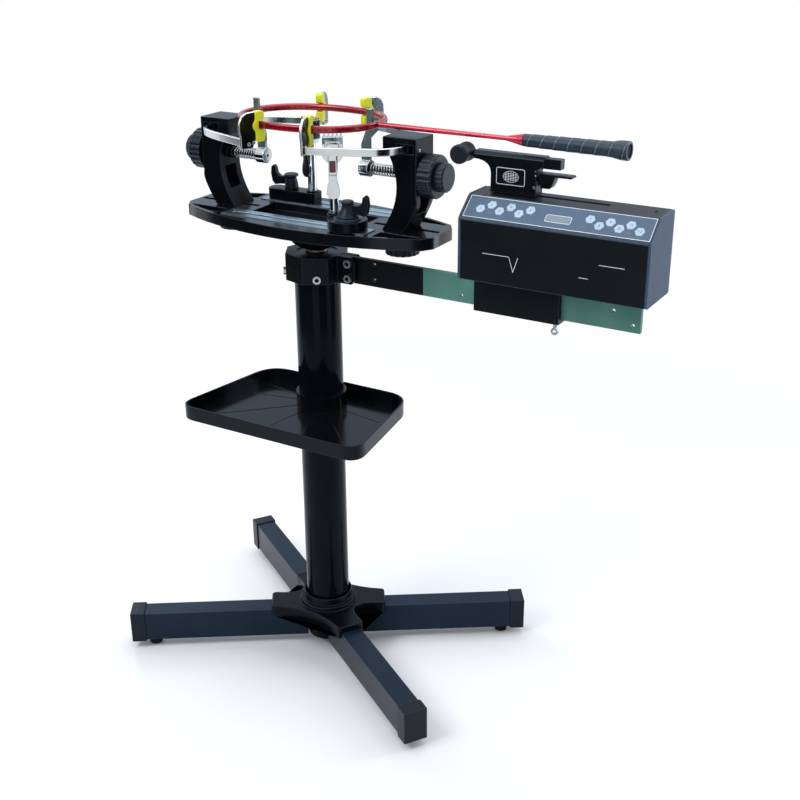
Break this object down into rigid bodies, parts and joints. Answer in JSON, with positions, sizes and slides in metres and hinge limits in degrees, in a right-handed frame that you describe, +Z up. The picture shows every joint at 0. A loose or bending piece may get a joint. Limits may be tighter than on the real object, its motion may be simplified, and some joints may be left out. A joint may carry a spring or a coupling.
{
  "type": "racket stringing machine",
  "caption": "Electronic racket stringing machine on a column stand: turntable with towers, side arms and string clamps, tension head on an arm, tool tray and star base.",
  "frame": {"origin": "on the floor, under the middle of the bounding box", "axes": "+Z up, +X towards the tension head, -Y the side with the keys"},
  "size_m": [0.9158, 0.445, 1.001],
  "materials": {
    "legs": "satin",
    "leg_caps": "matte",
    "feet": "matte",
    "star_cover": "satin",
    "post": "gloss",
    "mast_clamp": "satin",
    "arm_bar": "matte",
    "pivot_bush": "satin",
    "tool_tray": "satin",
    "turntable_plate": "satin",
    "rails": "satin",
    "towers": "satin",
    "lock_knobs": "satin",
    "tension_knobs": "satin",
    "spindles": "polished",
    "springs": "polished",
    "side_arms": "polished",
    "pads": "satin",
    "racket_frame": "gloss",
    "racket_grip": "satin",
    "clamp_bases": "satin",
    "clamp_knobs": "satin",
    "clamp_heads": "polished",
    "clamp_levers": "polished",
    "housing": "satin",
    "end_caps": "satin",
    "bracket": "satin",
    "thumb_screw": "satin",
    "gripper": "satin",
    "jaw_lever": "satin",
    "diablo": "satin"
  },
  "bodies": {
    "stand": {"leg_front_right": "legs", "leg_cap_front_right": "leg_caps", "foot_front_right": "feet", "leg_back_right": "legs", "leg_cap_back_right": "leg_caps", "foot_back_right": "feet", "leg_back_left": "legs", "leg_cap_back_left": "leg_caps", "foot_back_left": "feet", "leg_front_left": "legs", "leg_cap_front_left": "leg_caps", "foot_front_left": "feet", "base_star": "star_cover", "post": "post", "mast_clamp": "mast_clamp", "arm_bar": "arm_bar", "pivot_bush": "pivot_bush"},
    "tray": {"tool_tray": "tool_tray"},
    "turntable": {"turntable_plate": "turntable_plate", "rail_rear": "rails", "rail_front": "rails", "racket_frame": "racket_frame", "racket_grip": "racket_grip"},
    "tension_head": {"head_housing": "housing", "head_cap_left": "end_caps", "head_cap_right": "end_caps", "head_bracket": "bracket"},
    "thumb_screw": {"thumb_screw": "thumb_screw"},
    "gripper": {"gripper_body": "gripper", "diablo": "diablo"},
    "jaw_lever": {"jaw_lever": "jaw_lever"},
    "tower_right": {"tower_right": "towers", "spring_right": "springs"},
    "lock_knob_right": {"tower_lock_knob_right": "lock_knobs"},
    "arm_knob_right": {"arm_knob_right": "tension_knobs"},
    "spindle_knob_right": {"spindle_knob_right": "tension_knobs"},
    "spindle_right": {"spindle_right": "spindles"},
    "side_arm_right_front": {"side_arm_right_front": "side_arms", "pad_right_front": "pads"},
    "side_arm_right_rear": {"side_arm_right_rear": "side_arms", "pad_right_rear": "pads"},
    "tower_left": {"tower_left": "towers", "spring_left": "springs"},
    "lock_knob_left": {"tower_lock_knob_left": "lock_knobs"},
    "arm_knob_left": {"arm_knob_left": "tension_knobs"},
    "spindle_knob_left": {"spindle_knob_left": "tension_knobs"},
    "spindle_left": {"spindle_left": "spindles"},
    "side_arm_left_front": {"side_arm_left_front": "side_arms", "pad_left_front": "pads"},
    "side_arm_left_rear": {"side_arm_left_rear": "side_arms", "pad_left_rear": "pads"},
    "clamp_base_rear": {"string_clamp_base_rear": "clamp_bases"},
    "clamp_knob_rear": {"string_clamp_knob_rear": "clamp_knobs"},
    "clamp_head_rear": {"string_clamp_head_rear": "clamp_heads"},
    "clamp_lever_rear": {"string_clamp_lever_rear": "clamp_levers"},
    "clamp_base_front": {"string_clamp_base_front": "clamp_bases"},
    "clamp_knob_front": {"string_clamp_knob_front": "clamp_knobs"},
    "clamp_head_front": {"string_clamp_head_front": "clamp_heads"},
    "clamp_lever_front": {"string_clamp_lever_front": "clamp_levers"}
  },
  "joints": [
    {"name": "tray_height", "type": "slide", "parent": "stand", "child": "tray", "axis": [0, 0, 1], "range_m": [-0.3, 0.15]},
    {"name": "turntable_spin", "type": "hinge", "parent": "stand", "child": "turntable", "pos_m": [-0.13909, 0, 0.78], "axis": [0, 0, 1], "continuous": true},
    {"name": "tower_slide_right", "type": "slide", "parent": "turntable", "child": "tower_right", "axis": [1, 0, 0], "range_m": [-0.01, 0.002]},
    {"name": "lock_knob_turn_right", "type": "hinge", "parent": "tower_right", "child": "lock_knob_right", "pos_m": [0.0269, 0, 0.79], "axis": [0, 0, 1], "range_deg": [-180, 180]},
    {"name": "arm_knob_turn_right", "type": "hinge", "parent": "tower_right", "child": "arm_knob_right", "pos_m": [0.08291, 0, 0.908], "axis": [1, 0, 0], "range_deg": [0, 180]},
    {"name": "spindle_knob_turn_right", "type": "hinge", "parent": "tower_right", "child": "spindle_knob_right", "pos_m": [0.1019, 0, 0.908], "axis": [1, 0, 0], "range_deg": [0, 1080]},
    {"name": "spindle_slide_right", "type": "slide", "parent": "tower_right", "child": "spindle_right", "axis": [-1, 0, 0], "range_m": [0, 0.009], "deforming": ["spring_right"]},
    {"name": "side_arm_right_front_swing", "type": "hinge", "parent": "tower_right", "child": "side_arm_right_front", "pos_m": [0.0489, -0.017, 0.9505], "axis": [0, 0, 1], "range_deg": [0, 12]},
    {"name": "side_arm_right_rear_swing", "type": "hinge", "parent": "tower_right", "child": "side_arm_right_rear", "pos_m": [0.0489, 0.017, 0.9505], "axis": [0, 0, -1], "range_deg": [0, 12]},
    {"name": "tower_slide_left", "type": "slide", "parent": "turntable", "child": "tower_left", "axis": [-1, 0, 0], "range_m": [-0.01, 0.002]},
    {"name": "lock_knob_turn_left", "type": "hinge", "parent": "tower_left", "child": "lock_knob_left", "pos_m": [-0.3051, 0, 0.79], "axis": [0, 0, 1], "range_deg": [-180, 180]},
    {"name": "arm_knob_turn_left", "type": "hinge", "parent": "tower_left", "child": "arm_knob_left", "pos_m": [-0.36109, 0, 0.908], "axis": [-1, 0, 0], "range_deg": [0, 180]},
    {"name": "spindle_knob_turn_left", "type": "hinge", "parent": "tower_left", "child": "spindle_knob_left", "pos_m": [-0.3801, 0, 0.908], "axis": [-1, 0, 0], "range_deg": [0, 1080]},
    {"name": "spindle_slide_left", "type": "slide", "parent": "tower_left", "child": "spindle_left", "axis": [1, 0, 0], "range_m": [0, 0.009], "deforming": ["spring_left"]},
    {"name": "side_arm_left_front_swing", "type": "hinge", "parent": "tower_left", "child": "side_arm_left_front", "pos_m": [-0.3271, -0.017, 0.9505], "axis": [0, 0, -1], "range_deg": [0, 12]},
    {"name": "side_arm_left_rear_swing", "type": "hinge", "parent": "tower_left", "child": "side_arm_left_rear", "pos_m": [-0.3271, 0.017, 0.9505], "axis": [0, 0, 1], "range_deg": [0, 12]},
    {"name": "clamp_slide_rear", "type": "slide", "parent": "turntable", "child": "clamp_base_rear", "axis": [1, 0, 0], "range_m": [-0.009, 0.1]},
    {"name": "clamp_knob_turn_rear", "type": "hinge", "parent": "clamp_base_rear", "child": "clamp_knob_rear", "pos_m": [-0.22509, 0.05625, 0.856], "axis": [0, 0, -1], "range_deg": [0, 90]},
    {"name": "clamp_lift_rear", "type": "slide", "parent": "clamp_base_rear", "child": "clamp_head_rear", "axis": [0, 0, 1], "range_m": [0, 0.012]},
    {"name": "clamp_lever_turn_rear", "type": "hinge", "parent": "clamp_head_rear", "child": "clamp_lever_rear", "pos_m": [-0.18365, 0.05045, 0.939], "axis": [-0.9659, 0.2588, 0], "range_deg": [0, 45]},
    {"name": "clamp_slide_front", "type": "slide", "parent": "turntable", "child": "clamp_base_front", "axis": [1, 0, 0], "range_m": [-0.11, 0.005]},
    {"name": "clamp_knob_turn_front", "type": "hinge", "parent": "clamp_base_front", "child": "clamp_knob_front", "pos_m": [-0.03909, -0.05625, 0.856], "axis": [0, 0, -1], "range_deg": [0, 90]},
    {"name": "clamp_lift_front", "type": "slide", "parent": "clamp_base_front", "child": "clamp_head_front", "axis": [0, 0, 1], "range_m": [0, 0.012]},
    {"name": "clamp_lever_turn_front", "type": "hinge", "parent": "clamp_head_front", "child": "clamp_lever_front", "pos_m": [-0.0651, -0.0552, 0.939], "axis": [-0.866, -0.5, 0], "range_deg": [0, 45]},
    {"name": "head_slide", "type": "slide", "parent": "stand", "child": "tension_head", "axis": [1, 0, 0], "range_m": [-0.02, 0.12]},
    {"name": "thumb_screw_turn", "type": "hinge", "parent": "tension_head", "child": "thumb_screw", "pos_m": [0.2949, 0, 0.7], "axis": [0, 0, 1], "range_deg": [-180, 180]},
    {"name": "gripper_pull", "type": "slide", "parent": "tension_head", "child": "gripper", "axis": [1, 0, 0], "range_m": [0, 0.105]},
    {"name": "jaw_lever_tilt", "type": "hinge", "parent": "gripper", "child": "jaw_lever", "pos_m": [0.2509, 0.004, 0.922], "axis": [0, 1, 0], "range_deg": [0, 12], "stiffness_Nm_per_rad": 0.4, "springref_deg": -11.46}
  ],
  "couplings": [
    {"joint": "spindle_knob_turn_right", "follows": "spindle_slide_right", "rad_per_m": 2094.4},
    {"joint": "side_arm_right_front_swing", "follows": "arm_knob_turn_right", "ratio": 0.06666},
    {"joint": "side_arm_right_rear_swing", "follows": "arm_knob_turn_right", "ratio": 0.06666},
    {"joint": "spindle_knob_turn_left", "follows": "spindle_slide_left", "rad_per_m": 2094.4},
    {"joint": "side_arm_left_front_swing", "follows": "arm_knob_turn_left", "ratio": 0.06666},
    {"joint": "side_arm_left_rear_swing", "follows": "arm_knob_turn_left", "ratio": 0.06666}
  ]
}
